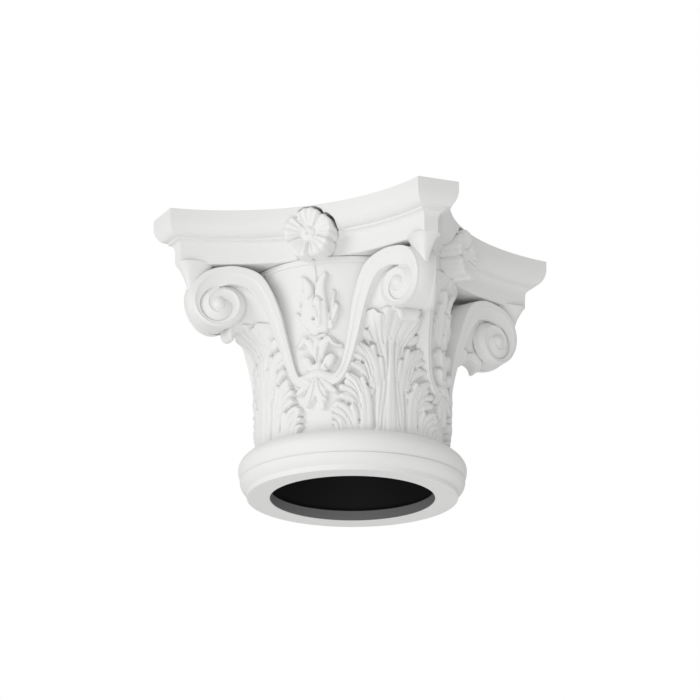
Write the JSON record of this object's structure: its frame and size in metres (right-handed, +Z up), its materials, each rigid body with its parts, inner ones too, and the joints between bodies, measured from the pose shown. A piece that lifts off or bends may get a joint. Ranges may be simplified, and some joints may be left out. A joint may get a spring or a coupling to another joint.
{
  "type": "corinthian capital",
  "caption": "Hollow cast column capital with a ringed foot, acanthus leaves, corner volutes and a concave abacus with applied rosettes.",
  "frame": {"origin": "centre of the ring's flat underside, on the axis of the bore", "axes": "+Z up along the column's axis; the abacus sides face -Y, +X, +Y and -X, and its cut corners point along the diagonals"},
  "size_m": [0.4008, 0.4008, 0.334],
  "materials": {
    "cast_white": "matte white primer over a smooth casting, dark inside the bore",
    "rosette_white": "matte white primer over a smooth casting"
  },
  "bodies": {
    "root": {"capital": "cast_white", "rosette_front": "rosette_white", "rosette_right": "rosette_white", "rosette_back": "rosette_white", "rosette_left": "rosette_white"}
  },
  "joints": []
}
